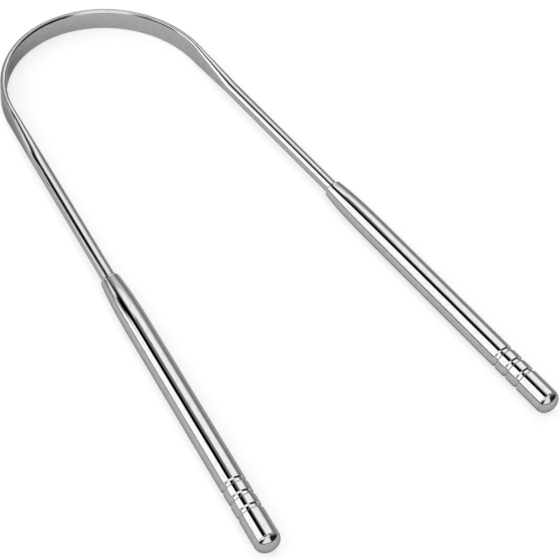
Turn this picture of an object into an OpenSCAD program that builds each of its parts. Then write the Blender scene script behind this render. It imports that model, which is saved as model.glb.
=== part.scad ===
// Tongue scraper: one bent wire whose arch is pressed into a scraping band,
// with a swaged and domed tube handle on each leg. Millimetres, lying flat, arch towards +Y.

/* [Arch] */
// Radius of the arch, to the middle of the band
arch_r = 24.4; // [18:0.2:30]
// Height of the scraping band
band_w = 5.5; // [4.5:0.1:8]
// Thickness of the scraping band
band_t = 1.4; // [0.8:0.05:2]

/* [Wire legs] */
// Diameter of the round wire
wire_d = 3.05; // [2.6:0.05:3.4]
// Angle that each leg leans out from the centre line
leg_splay = 4.65; // [0:0.05:10]
// Bare leg from the end of the arch to the mouth of the handle
leg_reach = 53; // [45:0.5:70]
// Stretch of leg over which the flat faces narrow to a point and the band turns round
blend_len = 14.5; // [8:0.5:30]

/* [Handle tube] */
// Outside diameter of the tube
tube_od = 5.5; // [5:0.1:7]
// Wall of the tube
tube_wall = 0.7; // [0.4:0.05:0.8]
// Length of the tube without the plug's dome
tube_len = 71.2; // [60:0.1:90]
// Outside diameter of the swaged mouth
mouth_d = 4.25; // [3.9:0.05:4.6]
// Length over which the mouth opens out to the full tube
swage_len = 20; // [10:0.5:25]

/* [Rolled grooves] */
// Number of grooves
groove_count = 3; // [1:1:4]
// Width of a groove
groove_w = 1.2; // [0.8:0.1:1.6]
// Depth of a groove
groove_depth = 0.28; // [0.15:0.01:0.35]
// Distance from groove to groove
groove_pitch = 3.3; // [2.4:0.1:4]
// Distance from the end of the tube to the middle of the last groove
groove_back = 7.05; // [4:0.05:9]

/* [End plug] */
// Height of the dome beyond the tube
dome_h = 1.85; // [1:0.05:2.6]
// Step from the tube's outside in to the foot of the dome
dome_step = 0.08; // [0.02:0.01:0.2]
// Depth of the blind socket that takes the tail of the wire
socket_depth = 3.5; // [2:0.1:6]
// Solid shank between the socket and the first groove
socket_web = 1; // [0.5:0.1:2]
// Bevel on the leading edge of the shank
shank_bevel = 0.2; // [0.05:0.05:0.2]

/* [Fits] */
// Clearance round the wire and round the shank
fit_gap = 0.02; // [0.01:0.01:0.04]
// Room between the tail of the wire and the bottom of its socket
tail_gap = 0.3; // [0.1:0.1:0.6]

/* [Hidden] */
$fn = 64;
// How steeply the swage rises behind the mouth
swage_fall = 3.5;
// Rounding of the mouth's lip, as a share of the wall there
lip_share = 0.6;
// Lean of a groove's side walls, as a share of its depth
groove_lean_share = 0.9;
// Bevel on the end of the tube, as a share of the dome's step
rim_bevel_share = 0.8;
// How far the blend's ends stand inside the band and the wire, and how far they run into them
seam_inset = 0.01;
seam_lap = 0.3;
swage_steps = 16;
lip_steps = 6;
dome_steps = 16;
blend_sides = 36;

wire_r = wire_d/2;
tube_r = tube_od/2;
bore_r = tube_r - tube_wall;
grip_r = wire_r + fit_gap;
mouth_r = mouth_d/2;
lip_r = lip_share*(mouth_r - grip_r);
rim_bevel = rim_bevel_share*dome_step;
dome_r = tube_r - dome_step;
shank_r = bore_r - fit_gap;
groove_lean = groove_lean_share*groove_depth;

// Places along a handle, from its mouth
groove_mids = [for (i = [groove_count - 1:-1:0]) tube_len - groove_back - i*groove_pitch];
shank_start = groove_mids[0] - groove_w/2 - socket_web - socket_depth;
socket_end = shank_start + socket_depth;
tail_end = socket_end - tail_gap;

// The part is centred along Y and stands on Z = 0
lie_h = max(tube_od, band_w)/2;
dome_reach = sqrt(pow(dome_h*cos(leg_splay), 2) + pow(dome_r*sin(leg_splay), 2));
tip_drop = (leg_reach + tube_len)*cos(leg_splay) + dome_reach - arch_r*sin(leg_splay);
arch_y = (tip_drop - arch_r - band_t/2)/2;

// Points round the section at that share of the blend, set down at place: flat faces, round edges
function blend_ring(share, place) =
    let (flat_half = (band_w - band_t)/2*(1 - share))
    let (edge_r = band_t/2 + (wire_r - band_t/2)*share - seam_inset)
    [for (i = [0:blend_sides - 1])
        let (turn = 360*(i + 0.5)/blend_sides)
        [edge_r*cos(turn), edge_r*sin(turn) + sign(sin(turn))*flat_half, place]];

// Radius of the tube's outside behind its lip
function swage_r(z) = tube_r - (tube_r - mouth_r)*pow(1 - (z - lip_r)/(swage_len - lip_r), swage_fall);

// The swaged wall keeps its area until the bore closes on the wire
function swage_bore_r(z) =
    let (free = pow(swage_r(z), 2) - tube_r*tube_r + bore_r*bore_r)
    max(grip_r, sqrt(max(free, 0)));

function swage_z(i) = lip_r + (swage_len - lip_r)*i/swage_steps;

// One groove's four corners, from a wall at radius r, let out by the gap
function groove_points(r, mid, gap) = [
    [r, mid - groove_w/2 - gap],
    [r - groove_depth, mid - groove_w/2 + groove_lean - gap],
    [r - groove_depth, mid + groove_w/2 - groove_lean + gap],
    [r, mid + groove_w/2 + gap]
];

function grooved_wall(r, gap) = [for (mid = groove_mids) each groove_points(r, mid, gap)];

function backwards(points) = [for (i = [len(points) - 1:-1:0]) points[i]];

// Sets a child on a leg: +Z runs down the leg, and z = 0 lies the given distance past the arch
module on_leg(side, along) {
    mirror([side == "left" ? 1 : 0, 0, 0])
        translate([0, arch_y, lie_h])
            rotate(leg_splay)
                translate([arch_r, -along, 0])
                    rotate([90, 0, 0])
                        children();
}

module band_section() {
    square([band_t, band_w - band_t], center = true);
    for (end = [-1, 1])
        translate([0, end*(band_w - band_t)/2])
            circle(d = band_t);
}

module arch_band() {
    translate([0, arch_y, lie_h])
        rotate(leg_splay)
            rotate_extrude(angle = 180 - 2*leg_splay)
                translate([arch_r, 0])
                    band_section();
}

// Flat band to round wire, as one closed skin of rings
module leg_blend() {
    rings = [
        blend_ring(0, -seam_lap),
        blend_ring(0, 0),
        blend_ring(1, blend_len),
        blend_ring(1, blend_len + seam_lap)
    ];
    last = len(rings) - 1;
    sides = [
        for (k = [0:last - 1], i = [0:blend_sides - 1])
            let (j = (i + 1) % blend_sides, a = k*blend_sides, b = a + blend_sides)
            each [[a + i, b + i, b + j], [a + i, b + j, a + j]]
    ];
    front = [for (i = [0:blend_sides - 1]) i];
    back = [for (i = [blend_sides - 1:-1:0]) last*blend_sides + i];
    polyhedron(points = [for (ring = rings) each ring], faces = concat(sides, [front, back]));
}

module round_leg() {
    translate([0, 0, blend_len])
        cylinder(r = wire_r, h = leg_reach + tail_end - blend_len);
}

module scraper_bow() {
    color("silver") {
        arch_band();
        for (side = ["left", "right"])
            on_leg(side, 0) {
                leg_blend();
                round_leg();
            }
    }
}

module handle_tube(side) {
    lip = [for (i = [0:lip_steps])
        let (turn = 90*i/lip_steps)
        [mouth_r - lip_r + lip_r*sin(turn), lip_r - lip_r*cos(turn)]];
    swage = [for (i = [1:swage_steps]) [swage_r(swage_z(i)), swage_z(i)]];
    swage_bore = [for (i = [0:swage_steps]) [swage_bore_r(swage_z(i)), swage_z(i)]];
    outside = concat(lip, swage, grooved_wall(tube_r, 0), [[tube_r, tube_len - rim_bevel]]);
    inside = concat([[grip_r, 0]], swage_bore, grooved_wall(bore_r, 0), [[bore_r, tube_len]]);
    color("gainsboro")
        on_leg(side, leg_reach)
            rotate_extrude()
                polygon(concat(outside, [[tube_r - rim_bevel, tube_len]], backwards(inside)));
}

module end_plug(side) {
    socket = [[0, socket_end], [grip_r, socket_end], [grip_r, shank_start]];
    nose = [[shank_r - shank_bevel, shank_start], [shank_r, shank_start + shank_bevel]];
    dome = [for (i = [0:dome_steps])
        let (turn = 90*i/dome_steps)
        [dome_r*cos(turn), tube_len + dome_h*sin(turn)]];
    color("silver")
        on_leg(side, leg_reach)
            rotate_extrude()
                polygon(concat(socket, nose, grooved_wall(shank_r, fit_gap), [[shank_r, tube_len]], dome));
}

module left_handle_tube() { handle_tube("left"); }
module right_handle_tube() { handle_tube("right"); }
module left_end_plug() { end_plug("left"); }
module right_end_plug() { end_plug("right"); }

scraper_bow();
left_handle_tube();
right_handle_tube();
left_end_plug();
right_end_plug();
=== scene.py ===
import math

import bpy
from mathutils import Matrix, Vector


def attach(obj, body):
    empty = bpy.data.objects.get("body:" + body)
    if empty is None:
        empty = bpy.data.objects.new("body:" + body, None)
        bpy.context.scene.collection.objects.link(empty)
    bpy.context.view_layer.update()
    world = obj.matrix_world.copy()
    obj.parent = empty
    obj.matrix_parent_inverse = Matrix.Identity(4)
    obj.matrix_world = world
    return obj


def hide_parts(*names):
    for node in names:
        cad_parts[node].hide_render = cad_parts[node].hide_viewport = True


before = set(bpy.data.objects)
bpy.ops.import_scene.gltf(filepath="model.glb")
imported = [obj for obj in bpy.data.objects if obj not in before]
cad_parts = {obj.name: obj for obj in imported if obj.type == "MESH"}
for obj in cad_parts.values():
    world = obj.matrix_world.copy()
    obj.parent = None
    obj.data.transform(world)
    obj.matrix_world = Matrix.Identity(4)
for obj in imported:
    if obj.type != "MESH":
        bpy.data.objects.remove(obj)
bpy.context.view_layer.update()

# Driving sizes in millimetres, the same as in the part's source
ARCH_R = 24.4
BAND_W, BAND_T = 5.5, 1.4
WIRE_R = 1.525
LEG_SPLAY = math.radians(4.65)
LEG_REACH, BLEND_LEN = 53.0, 14.5
TUBE_R, TUBE_WALL, TUBE_LEN = 2.75, 0.7, 71.2
MOUTH_R, SWAGE_LEN, SWAGE_FALL = 2.125, 20.0, 3.5
LIP_SHARE = 0.6
GROOVE_COUNT, GROOVE_PITCH, GROOVE_BACK = 3, 3.3, 7.05
GROOVE_W, GROOVE_DEPTH, GROOVE_LEAN_SHARE = 1.2, 0.28, 0.9
DOME_H, DOME_STEP, RIM_BEVEL_SHARE = 1.85, 0.08, 0.8
SOCKET_DEPTH, SOCKET_WEB, SHANK_BEVEL = 3.5, 1.0, 0.2
FIT_GAP, TAIL_GAP = 0.02, 0.3

# Sizes worked out from them
BORE_R = TUBE_R - TUBE_WALL
GRIP_R = WIRE_R + FIT_GAP
LIP_R = LIP_SHARE * (MOUTH_R - GRIP_R)
GROOVE_MIDS = [TUBE_LEN - GROOVE_BACK - i * GROOVE_PITCH for i in reversed(range(GROOVE_COUNT))]
GROOVE_LEAN = GROOVE_LEAN_SHARE * GROOVE_DEPTH
DOME_R = TUBE_R - DOME_STEP
RIM_BEVEL = RIM_BEVEL_SHARE * DOME_STEP
SHANK_R = BORE_R - FIT_GAP
SHANK_START = GROOVE_MIDS[0] - GROOVE_W / 2 - SOCKET_WEB - SOCKET_DEPTH
SOCKET_END = SHANK_START + SOCKET_DEPTH
TAIL_END = SOCKET_END - TAIL_GAP
DOME_REACH = math.hypot(DOME_H * math.cos(LEG_SPLAY), DOME_R * math.sin(LEG_SPLAY))
TIP_DROP = (LEG_REACH + TUBE_LEN) * math.cos(LEG_SPLAY) + DOME_REACH - ARCH_R * math.sin(LEG_SPLAY)
ARCH_CENTRE = Vector((0, (TIP_DROP - ARCH_R - BAND_T / 2) / 2, max(TUBE_R, BAND_W / 2)))
MM = 0.001

# Edges that only the scene softens: a groove's shoulders and feet, and the tail of the wire
SHOULDER_R, FOOT_R = 0.07, 0.1
TAIL_BEVEL = 0.2

# Rings of the bow: step and count from the end of the arch to past the blend, places on the round
# wire, and steps round the arch
BLEND_RING_STEP, BLEND_RINGS = 0.5, 43
WIRE_RINGS = (25, 30, 40, 53, 70, 90)
ARCH_STEPS = 120

# Degrees between the points of a ring, and from a flat face's own direction to its two corners
SECTION_STEP, CORNER_TURN = 4, 0.3

# A normal of the bow is taken over that many rings each way, which softens the ends of the blend
NORMAL_REACH = 7

# Fineness of the lathed pieces, and the radius of the ring in the middle of the socket's floor
LATHE_SIDES = 144
LIP_STEPS, SWAGE_STEPS, BORE_STEPS, EDGE_STEPS, DOME_STEPS = 8, 40, 16, 5, 49
HUB_R = 0.01

# Sections turn from outward over the top, and their lay map is cut underneath
SEAM = math.radians(270)


# Placing
def leg_axes(side):
    """Directions down a leg and outward from it, for side +1 (right) or -1 (left)."""
    down = Vector((side * math.sin(LEG_SPLAY), -math.cos(LEG_SPLAY), 0))
    out = Vector((side * math.cos(LEG_SPLAY), math.sin(LEG_SPLAY), 0))
    return down, out


def on_leg(side, along):
    """Centre of the leg, that far past the end of the arch."""
    down, out = leg_axes(side)
    return ARCH_CENTRE + out * ARCH_R + down * along


# Meshes
def new_piece(name, points, faces, normals, lay):
    """A mesh object from millimetre points, with its own normals and a lay map in millimetres."""
    mesh = bpy.data.meshes.new(name)
    mesh.from_pydata([p * MM for p in points], [], faces)
    mesh.polygons.foreach_set("use_smooth", [True] * len(mesh.polygons))
    layer = mesh.uv_layers.new(name="lay")
    for loop in mesh.loops:
        layer.data[loop.index].uv = lay[loop.vertex_index]
    mesh.normals_split_custom_set_from_vertices([n.normalized() for n in normals])
    mesh.update()
    piece = bpy.data.objects.new(name, mesh)
    bpy.context.scene.collection.objects.link(piece)
    return piece


def quads(count, ring_pairs, mirrored=False):
    """Faces between pairs of rings, each of that many points."""
    faces = []
    for low, high in ring_pairs:
        a, b = low * count, high * count
        for i in range(count):
            j = (i + 1) % count
            quad = (a + i, b + i, b + j, a + j) if mirrored else (a + i, a + j, b + j, b + i)
            faces.append(quad)
    return faces


# Bow: one loft from tail to tail
def ring_turns():
    """Angles round a section, with a pair of corners that keeps each flat face flat."""
    upper = [SECTION_STEP * i for i in range(1, 180 // SECTION_STEP)]
    upper = [CORNER_TURN, *upper, 180 - CORNER_TURN]
    return [math.radians(t) for t in upper + [360 - t for t in reversed(upper)]]


def section(along):
    """Half thickness and half flat height of the bow, that far past the arch."""
    share = min(along / BLEND_LEN, 1)
    half_t = BAND_T / 2 + (WIRE_R - BAND_T / 2) * share
    flat = (BAND_W - BAND_T) / 2 * (1 - share)
    return half_t, flat


def bow_stations():
    """(centre, outward direction, distance past the arch, distance along the wire) in order."""
    half_arch = (math.pi / 2 - LEG_SPLAY) * ARCH_R
    tail = LEG_REACH + TAIL_END
    places = [BLEND_RING_STEP * i for i in range(BLEND_RINGS)]
    places += [*WIRE_RINGS, tail - TAIL_BEVEL, tail]
    right = [(on_leg(1, a), leg_axes(1)[1], a, half_arch + a) for a in places]
    left = [(on_leg(-1, a), leg_axes(-1)[1], a, -half_arch - a) for a in places]
    arch = []
    for i in range(1, ARCH_STEPS):
        turn = LEG_SPLAY + (math.pi - 2 * LEG_SPLAY) * i / ARCH_STEPS
        out = Vector((math.cos(turn), math.sin(turn), 0))
        arch.append((ARCH_CENTRE + out * ARCH_R, out, 0, (math.pi / 2 - turn) * ARCH_R))
    return left[::-1] + arch[::-1] + right


def lap_round(turn, half_t, flat):
    """Distance round a section from the middle of its outer face, less than 0 past the seam."""
    if turn > SEAM:
        return half_t * (turn - 2 * math.pi) - flat
    return half_t * turn + (flat if turn < math.pi else 3 * flat)


def bow_ring(centre, out, along, turns, trim):
    """Points, directions round the section and laps of one ring, made smaller by the trim."""
    half_t, flat = section(along)
    points, around, laps = [], [], []
    for turn in turns:
        c, s = math.cos(turn), math.sin(turn)
        up = math.copysign(flat, s) + (half_t - trim) * s
        points.append(centre + out * (half_t - trim) * c + Vector((0, 0, up)))
        around.append(out * -s + Vector((0, 0, c)))
        laps.append(lap_round(turn, half_t, flat))
    return points, around, laps


def make_bow():
    turns = ring_turns()
    count = len(turns)
    stations = bow_stations()
    last = len(stations) - 1
    rings = []
    for k, (centre, out, along, _) in enumerate(stations):
        trim = TAIL_BEVEL if k in (0, last) else 0
        rings.append(bow_ring(centre, out, along, turns, trim))
    points, normals, lay, pressed = [], [], [], []
    for k, (ring, around, laps) in enumerate(rings):
        before = rings[max(k - NORMAL_REACH, 0)][0]
        after = rings[min(k + NORMAL_REACH, last)][0]
        _, _, along, run = stations[k]
        points += ring
        normals += [a.cross(q - p) for a, p, q in zip(around, before, after)]
        lay += [(run, lap) for lap in laps]
        pressed += [max(1 - along / BLEND_LEN, 0)] * count
    faces = quads(count, [(k, k + 1) for k in range(last)])
    faces.append(tuple(reversed(range(count))))
    faces.append(tuple(range(last * count, (last + 1) * count)))
    piece = new_piece("steel_bow", points, faces, normals, lay)
    piece.data.attributes.new("pressed", "FLOAT", "POINT").data.foreach_set("value", pressed)
    return piece


# Lathed pieces: profiles are lists of (z, r, normal z, normal r), with z from the mouth to the tip
def arc(z, r, radius, start, end, steps, hollow=False):
    """Part of a circle about (z, r); hollow arcs have normals towards their centre."""
    sign = -1 if hollow else 1
    out = []
    for i in range(steps + 1):
        turn = math.radians(start + (end - start) * i / steps)
        c, s = math.cos(turn), math.sin(turn)
        out.append((z + radius * c, r + radius * s, sign * c, sign * s))
    return out


def walls(*corners):
    """Straight walls from corner to corner, solid on their right-hand side."""
    out = []
    for (z0, r0), (z1, r1) in zip(corners, corners[1:]):
        dz, dr = z1 - z0, r1 - r0
        out += [(z0, r0, -dr, dz), (z1, r1, -dr, dz)]
    return out


def swage_place(share):
    """(z, outside radius, slope) at that share of the way from the lip to the full tube."""
    length, drop = SWAGE_LEN - LIP_R, TUBE_R - MOUTH_R
    outside = TUBE_R - drop * (1 - share) ** SWAGE_FALL
    slope = SWAGE_FALL * drop / length * (1 - share) ** (SWAGE_FALL - 1)
    return LIP_R + length * share, outside, slope


def swage_outside():
    places = [swage_place(i / SWAGE_STEPS) for i in range(1, SWAGE_STEPS + 1)]
    return [(z, r, -slope, 1) for z, r, slope in places]


def swage_bore():
    """Back to the mouth: the wall keeps its area until the bore closes on the wire."""
    out = []
    for i in reversed(range(BORE_STEPS)):
        z, r, _ = swage_place(i / BORE_STEPS)
        free = r**2 - TUBE_R**2 + BORE_R**2
        out.append((z, max(GRIP_R, math.sqrt(max(free, 0))), 0, -1))
    return out


def groove_profile(mid):
    """One rolled groove with rounded shoulders and feet."""
    lean = math.degrees(math.atan2(GROOVE_LEAN, GROOVE_DEPTH))
    ease = math.tan(math.radians((90 - lean) / 2))
    top, start, end = TUBE_R - SHOULDER_R, mid - GROOVE_W / 2, mid + GROOVE_W / 2
    low, inset = TUBE_R - GROOVE_DEPTH + FOOT_R, GROOVE_LEAN + FOOT_R * ease
    out = arc(start - SHOULDER_R * ease, top, SHOULDER_R, 90, lean, EDGE_STEPS)
    out += arc(start + inset, low, FOOT_R, 180 + lean, 270, EDGE_STEPS, hollow=True)
    out += arc(end - inset, low, FOOT_R, 270, 360 - lean, EDGE_STEPS, hollow=True)
    out += arc(end + SHOULDER_R * ease, top, SHOULDER_R, 180 - lean, 90, EDGE_STEPS)
    return out


def lathe(name, side, profile, tip=None):
    """Turns a closed profile round a leg's axis. With a tip, both ends close on the axis.

    The lay runs along a tube, and round a piece with a tip.
    """
    down, out = leg_axes(side)
    start = on_leg(side, LEG_REACH)
    points, normals, lay = [], [], []
    run = 0
    for k, (z, r, nz, nr) in enumerate(profile):
        if k:
            run += math.hypot(z - profile[k - 1][0], r - profile[k - 1][1])
        for i in range(LATHE_SIDES):
            turn = 2 * math.pi * i / LATHE_SIDES
            radial = out * math.cos(turn) + Vector((0, 0, math.sin(turn)))
            points.append(start + down * z + radial * r)
            normals.append(radial * nr + down * nz)
            lap = TUBE_R * (turn if turn <= SEAM else turn - 2 * math.pi)
            lay.append((z, lap) if tip is None else (lap, run))
    rows = len(profile)
    pairs = [(k, k + 1) for k in range(rows - 1)]
    mirrored = side < 0
    if tip is None:
        faces = quads(LATHE_SIDES, pairs + [(rows - 1, 0)], mirrored)
        return new_piece(name, points, faces, normals, lay)
    faces = quads(LATHE_SIDES, pairs, mirrored)
    hub, top = len(points), len(points) + 1
    points += [start + down * profile[0][0], start + down * tip]
    normals += [-down, down]
    lay += [(0, 0), (0, run)]
    rim = (rows - 1) * LATHE_SIDES
    for i in range(LATHE_SIDES):
        j = (i + 1) % LATHE_SIDES
        low, high = (i, j, hub), (rim + j, rim + i, top)
        faces += [low, high] if mirrored else [low[::-1], high[::-1]]
    return new_piece(name, points, faces, normals, lay)


def make_tube(name, side):
    lip_edge, rim_edge = MOUTH_R - LIP_R, TUBE_R - RIM_BEVEL
    profile = arc(LIP_R, lip_edge, LIP_R, 180, 90, LIP_STEPS) + swage_outside()
    for mid in GROOVE_MIDS:
        profile += groove_profile(mid)
    profile += arc(TUBE_LEN - RIM_BEVEL, rim_edge, RIM_BEVEL, 90, 0, EDGE_STEPS)
    profile += walls((TUBE_LEN, rim_edge), (TUBE_LEN, BORE_R), (SWAGE_LEN, BORE_R))
    profile += swage_bore()
    profile += walls((0, GRIP_R), (0, lip_edge))
    return lathe(name, side, profile)


def make_plug(name, side):
    profile = walls(
        (SOCKET_END, HUB_R),
        (SOCKET_END, GRIP_R),
        (SHANK_START, GRIP_R),
        (SHANK_START, SHANK_R - SHANK_BEVEL),
        (SHANK_START + SHANK_BEVEL, SHANK_R),
        (TUBE_LEN, SHANK_R),
        (TUBE_LEN, DOME_R),
    )
    for i in range(DOME_STEPS):
        turn = math.pi / 2 * i / DOME_STEPS
        c, s = math.cos(turn), math.sin(turn)
        profile.append((TUBE_LEN + DOME_H * s, DOME_R * c, s / DOME_H, c / DOME_R))
    return lathe(name, side, profile, tip=TUBE_LEN + DOME_H)


# Node helpers
def empty_tree(owner):
    """The cleared node tree of a material or a world."""
    owner.use_nodes = True
    owner.node_tree.nodes.clear()
    return owner.node_tree


def node(tree, kind, inputs=None, **settings):
    made = tree.nodes.new(kind)
    for key, value in settings.items():
        setattr(made, key, value)
    for key, value in (inputs or {}).items():
        if isinstance(value, bpy.types.NodeSocket):
            tree.links.new(value, made.inputs[key])
        else:
            made.inputs[key].default_value = value
    return made


def maths(tree, operation, a, b=0.0, c=0.0):
    return node(tree, "ShaderNodeMath", {0: a, 1: b, 2: c}, operation=operation).outputs[0]


def product(tree, first, *others):
    for other in others:
        first = maths(tree, "MULTIPLY", first, other)
    return first


def total(tree, a, b):
    return maths(tree, "ADD", a, b)


def ramp(tree, value, low, high, start=0.0, end=1.0):
    """From start to end, smoothly, as the value goes from low to high."""
    inputs = {0: value, 1: low, 2: high, 3: start, 4: end}
    return node(tree, "ShaderNodeMapRange", inputs, interpolation_type="SMOOTHSTEP").outputs[0]


def between(tree, value, low, high, soft_low, soft_high):
    """1 from low to high and 0 beyond, with each edge softened to both sides."""
    rise = ramp(tree, value, low - soft_low, low + soft_low)
    fall = ramp(tree, value, high - soft_high, high + soft_high, 1, 0)
    return product(tree, rise, fall)


def mixed(tree, share, a, b):
    return node(tree, "ShaderNodeMix", {0: share, 2: a, 3: b}, data_type="FLOAT").outputs[0]


def noise(tree, vector, scale, detail, roughness):
    inputs = {"Vector": vector, "Scale": scale, "Detail": detail, "Roughness": roughness}
    return node(tree, "ShaderNodeTexNoise", inputs).outputs[0]


def scaled(tree, vector, along, around, turn):
    """The lay map scaled along and round the piece, and turned."""
    inputs = {"Vector": vector, "Scale": (along, around, 1.0), "Rotation": (0, 0, turn)}
    return node(tree, "ShaderNodeMapping", inputs).outputs[0]


# Finish of the steel: noises as (scale, detail, roughness), and how the lay map is scaled along and
# round the piece and turned before some of them. Scales count per millimetre of the lay map, and
# for waves, haze and grain per metre of the scene.
LINES, LINE_LAY = (9.0, 3.0, 0.5), (0.05, 1.0, 0.0)
STREAKS, STREAK_LAY = (3.4, 2.0, 0.6), (0.16, 1.0, 0.0)
SCRATCHES, SCRATCH_LAY = (6.0, 2.0, 0.5), (0.9, 0.25, 0.5)
WAVES = (160.0, 1.0, 0.5)
HAZE = (90.0, 3.0, 0.5)
GRAIN = (900.0, 3.0, 0.6)

# Noise levels between which a mark sets in
STREAK_EDGES, SCRATCH_EDGES, HAZE_EDGES = (0.5, 0.72), (0.68, 0.74), (0.3, 0.7)

# What each adds to the bump's height, to the roughness and to the dulling
LINE_BUMP, WAVE_BUMP, GRAIN_BUMP, BUMP_DEPTH = 0.0012, 0.006, 0.012, 0.001
HAZE_ROUGH, SCRATCH_ROUGH, GRAIN_ROUGH = 0.03, 0.06, 0.05
STREAK_DULL, HAZE_DULL = 0.8, 0.2

# Share of the colour that a dull place keeps, and the steel's tint at grazing angles
DULL_SHADE = 0.74
EDGE_TINT = (0.45, 0.45, 0.45, 1)


def steel(name, colour, rough, pressed_grain=False):
    """Polished stainless: draw lines and streaks along the piece, waves, scratches and haze."""
    material = bpy.data.materials.new(name)
    tree = empty_tree(material)
    lay = node(tree, "ShaderNodeUVMap", uv_map="lay").outputs[0]
    place = node(tree, "ShaderNodeTexCoord").outputs["Object"]

    lines = noise(tree, scaled(tree, lay, *LINE_LAY), *LINES)
    waves = noise(tree, place, *WAVES)
    height = total(tree, product(tree, lines, LINE_BUMP), product(tree, waves, WAVE_BUMP))

    haze = noise(tree, place, *HAZE)
    roughness = ramp(tree, haze, *HAZE_EDGES, rough, rough + HAZE_ROUGH)
    scratches = noise(tree, scaled(tree, lay, *SCRATCH_LAY), *SCRATCHES)
    scratches = ramp(tree, scratches, *SCRATCH_EDGES)
    roughness = total(tree, roughness, product(tree, scratches, SCRATCH_ROUGH))

    if pressed_grain:
        pressed = node(tree, "ShaderNodeAttribute", attribute_name="pressed").outputs["Fac"]
        grain = noise(tree, place, *GRAIN)
        height = total(tree, height, product(tree, pressed, grain, GRAIN_BUMP))
        roughness = total(tree, roughness, product(tree, pressed, GRAIN_ROUGH))

    streaks = noise(tree, scaled(tree, lay, *STREAK_LAY), *STREAKS)
    streaks = ramp(tree, streaks, *STREAK_EDGES)
    dull = total(tree, product(tree, streaks, STREAK_DULL), product(tree, haze, HAZE_DULL))
    clean_colour, dull_colour = (*colour, 1), (*[c * DULL_SHADE for c in colour], 1)
    tint = node(tree, "ShaderNodeMix", {0: dull, 6: clean_colour, 7: dull_colour}, data_type="RGBA")

    bump = node(tree, "ShaderNodeBump", {"Height": height, "Strength": 1.0, "Distance": BUMP_DEPTH})
    inputs = {
        "Base Color": tint.outputs[2],
        "Metallic": 1.0,
        "Roughness": roughness,
        "Normal": bump.outputs[0],
        "Specular Tint": EDGE_TINT,
    }
    shader = node(tree, "ShaderNodeBsdfPrincipled", inputs)
    node(tree, "ShaderNodeOutputMaterial", {"Surface": shader.outputs[0]})
    return material


# Studio: soft light cards and dark gaps round the object, each one named, with its edges, their
# softness and its level. A wall card has its azimuth (0 is +Y, 90 is +X) and elevation in degrees.
# A ceiling card starts with the ceiling's turn in degrees and has its place across that ceiling,
# with a softness for each edge, and along it, one unit up. A later card lies over an earlier one.
OPEN_SKY = 0.6
CARDS = [
    ("wall", "low grey wall", (-200, 200, 5), (-20, 30, 8), 0.5),
    ("wall", "left window", (-80, -46, 2), (4, 49, 3), 2.2),
    ("wall", "right dark wall", (94, 166, 3), (3, 60, 5), 0.03),
    ("wall", "front window", (170, 232, 3), (8, 62, 6), 1.9),
    ("wall", "front dark patch", (-120, -80, 5), (4, 44, 5), 0.06),
    ("wall", "dark skirting", (-200, 200, 5), (-5, 5, 2), 0.2),
    (0, "right ceiling", (0.34, 3.0, 0.06, 0.3), (-0.4, 0.32, 0.06), 0.35),
    (0, "far top window", (0.1, 1.9, 0.18, 0.3), (0.8, 1.3, 0.12), 1.2),
    (0, "top window", (-0.1, 1.6, 0.1, 0.3), (0.37, 0.9, 0.06), 1.95),
    (0, "grey bar", (-0.2, 0.17, 0.05, 0.04), (0.51, 0.7, 0.012), 0.45),
    (0, "near sky", (-0.5, 0.28, 0.1, 0.04), (-0.55, 0.18, 0.08), 1.7),
    (27.5, "left panel", (-1.0, -0.24, 0.2, 0.05), (0.25, 1.6, 0.1), 2.2),
    (27.5, "grey border", (0.0, 0.27, 0.03, 0.05), (0.25, 1.6, 0.1), 0.3),
    (27.5, "dark gap", (-0.235, 0.13, 0.03, 0.03), (0.17, 1.25, 0.1), 0.0),
    (54, "panel past the gap", (0.5, 0.9, 0.03, 0.05), (1.35, 4.0, 0.15), 1.6),
    (54, "long dark gap", (0.33, 0.5, 0.03, 0.03), (0.85, 2.0, 0.35), 0.0),
    (27.5, "end of the dark gap", (-0.13, 0.06, 0.04, 0.04), (1.0, 2.3, 0.1), 0.0),
]

# Heights on the unit sphere: the least that a ceiling's place is worked out from, and the two
# between which ceilings fade in
CEILING_LEAST = 0.02
CEILING_FADE = (0.04, 0.06)

# Rays that see the background directly, from the camera or through glass
STRAIGHT = ("Is Camera Ray", "Is Transmission Ray")


def is_ray(tree, *kinds):
    """1 for a ray of any of these kinds, otherwise 0."""
    path = node(tree, "ShaderNodeLightPath")
    answer = path.outputs[kinds[0]]
    for kind in kinds[1:]:
        answer = maths(tree, "MAXIMUM", answer, path.outputs[kind])
    return answer


def wall_mask(tree, azimuth, elevation, across, height):
    low, high, soft = across
    middle, half = (low + high) / 2, (high - low) / 2
    off = maths(tree, "WRAP", maths(tree, "SUBTRACT", azimuth, middle), 180, -180)
    mask = ramp(tree, maths(tree, "ABSOLUTE", off), half - soft, half + soft, 1, 0)
    low, high, soft = height
    return product(tree, mask, between(tree, elevation, low, high, soft, soft))


def ceiling_mask(tree, place, depth, above, across, height):
    low, high, soft = height
    mask = product(tree, above, between(tree, place, *across))
    return product(tree, mask, between(tree, depth, low, high, soft, soft))


def ceiling_places(tree, x, y, z):
    """Place across and along each turned ceiling, by its turn."""
    up = maths(tree, "MAXIMUM", z, CEILING_LEAST)
    u, v = maths(tree, "DIVIDE", x, up), maths(tree, "DIVIDE", y, up)
    places = {}
    for turn in sorted({card[0] for card in CARDS} - {"wall"}):
        c, s = math.cos(math.radians(turn)), math.sin(math.radians(turn))
        across = maths(tree, "MULTIPLY_ADD", u, c, product(tree, v, s))
        along = maths(tree, "MULTIPLY_ADD", v, c, product(tree, u, -s))
        places[turn] = across, along
    return places


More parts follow.
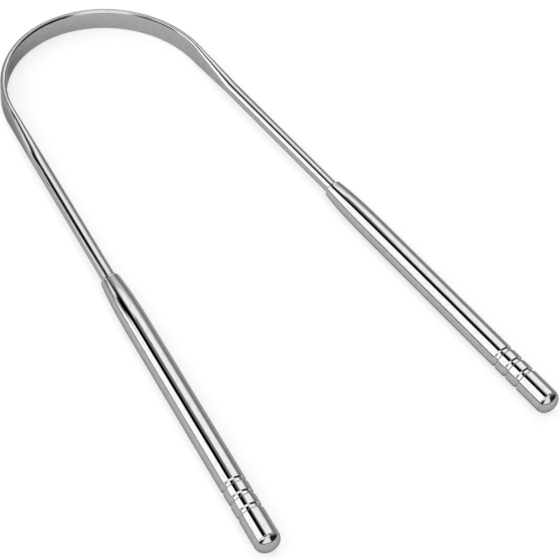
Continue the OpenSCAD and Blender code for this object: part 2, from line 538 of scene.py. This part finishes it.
def make_world():
    """The cards' light, and plain white for rays that see the background directly."""
    world = bpy.data.worlds.new("studio")
    tree = empty_tree(world)
    way = node(tree, "ShaderNodeTexCoord").outputs["Generated"]
    x, y, z = node(tree, "ShaderNodeSeparateXYZ", {0: way}).outputs
    azimuth = product(tree, maths(tree, "ARCTAN2", x, y), math.degrees(1))
    elevation = product(tree, maths(tree, "ARCSINE", z), math.degrees(1))
    places = ceiling_places(tree, x, y, z)
    above = ramp(tree, z, *CEILING_FADE)
    level = OPEN_SKY
    for kind, _, across, height, value in CARDS:
        if kind == "wall":
            mask = wall_mask(tree, azimuth, elevation, across, height)
        else:
            mask = ceiling_mask(tree, *places[kind], above, across, height)
        level = mixed(tree, mask, level, value)
    level = mixed(tree, is_ray(tree, *STRAIGHT), level, 1.0)
    back = node(tree, "ShaderNodeBackground", {"Color": level, "Strength": 1.0})
    node(tree, "ShaderNodeOutputWorld", {"Surface": back.outputs[0]})
    bpy.context.scene.world = world


# Floor: its radius in metres, its colour for bounced light, and what straight rays see, which is a
# grey that takes the shadow plus a steady glow that brings it up to white
FLOOR_R, FLOOR_SIDES = 1.6, 120
FLOOR_BOUNCE = 0.8
FLOOR_SHADE, FLOOR_FILL = 0.45, 0.60


def make_floor():
    """A disc that is white to the eye, in the metal and through glass, and keeps the soft shadow."""
    turns = [2 * math.pi * i / FLOOR_SIDES for i in range(FLOOR_SIDES)]
    rim = [(FLOOR_R * math.cos(turn), FLOOR_R * math.sin(turn), 0) for turn in turns]
    mesh = bpy.data.meshes.new("floor")
    mesh.from_pydata(rim, [], [tuple(range(FLOOR_SIDES))])
    floor = bpy.data.objects.new("floor", mesh)
    bpy.context.scene.collection.objects.link(floor)
    material = bpy.data.materials.new("floor_white")
    tree = empty_tree(material)
    straight = is_ray(tree, *STRAIGHT)
    bounced = mixed(tree, is_ray(tree, *STRAIGHT, "Is Glossy Ray"), FLOOR_BOUNCE, 1.0)
    lit = node(tree, "ShaderNodeBsdfDiffuse", {"Color": mixed(tree, straight, bounced, FLOOR_SHADE)})
    glow = node(tree, "ShaderNodeEmission", {"Strength": product(tree, straight, FLOOR_FILL)})
    both = node(tree, "ShaderNodeAddShader", {0: lit.outputs[0], 1: glow.outputs[0]})
    node(tree, "ShaderNodeOutputMaterial", {"Surface": both.outputs[0]})
    floor.data.materials.append(material)


# Camera at the photograph's viewing angle: places in millimetres, its near limit in metres
CAMERA_AT = Vector((-156.98, -212.90, 292.72))
CAMERA_AIM = Vector((3.35, -18.70, 2.75))
CAMERA_ROLL = math.radians(8.709)
CAMERA_LENS, CAMERA_SENSOR = 115.385, 36
CAMERA_NEAR = 0.01


def make_camera():
    ahead = (CAMERA_AIM - CAMERA_AT).normalized()
    level = ahead.cross(Vector((0, 0, 1))).normalized()
    over = level.cross(ahead)
    right = level * math.cos(CAMERA_ROLL) + over * math.sin(CAMERA_ROLL)
    up = right.cross(ahead)
    data = bpy.data.cameras.new("camera")
    data.lens, data.sensor_width, data.sensor_fit = CAMERA_LENS, CAMERA_SENSOR, "HORIZONTAL"
    data.clip_start = CAMERA_NEAR
    camera = bpy.data.objects.new("camera", data)
    turn = Matrix((right, up, -ahead)).transposed().to_4x4()
    camera.matrix_world = Matrix.Translation(CAMERA_AT * MM) @ turn
    bpy.context.scene.collection.objects.link(camera)
    bpy.context.scene.camera = camera


make_camera()
make_world()
make_floor()

bow_steel = steel("bow_steel", (0.44, 0.44, 0.436), 0.05, pressed_grain=True)
tube_steel = steel("tube_steel", (0.45, 0.45, 0.446), 0.04)
plug_steel = steel("plug_steel", (0.42, 0.42, 0.416), 0.07)

bow = make_bow()
bow.data.materials.append(bow_steel)
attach(bow, "root")
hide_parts("scraper_bow")

for name, side in (("left", -1), ("right", 1)):
    tube = make_tube(name + "_steel_tube", side)
    tube.data.materials.append(tube_steel)
    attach(tube, "root")
    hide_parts(name + "_handle_tube")
    plug = make_plug(name + "_steel_plug", side)
    plug.data.materials.append(plug_steel)
    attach(plug, "root")
    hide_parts(name + "_end_plug")

bpy.context.scene.view_settings.view_transform = "Standard"
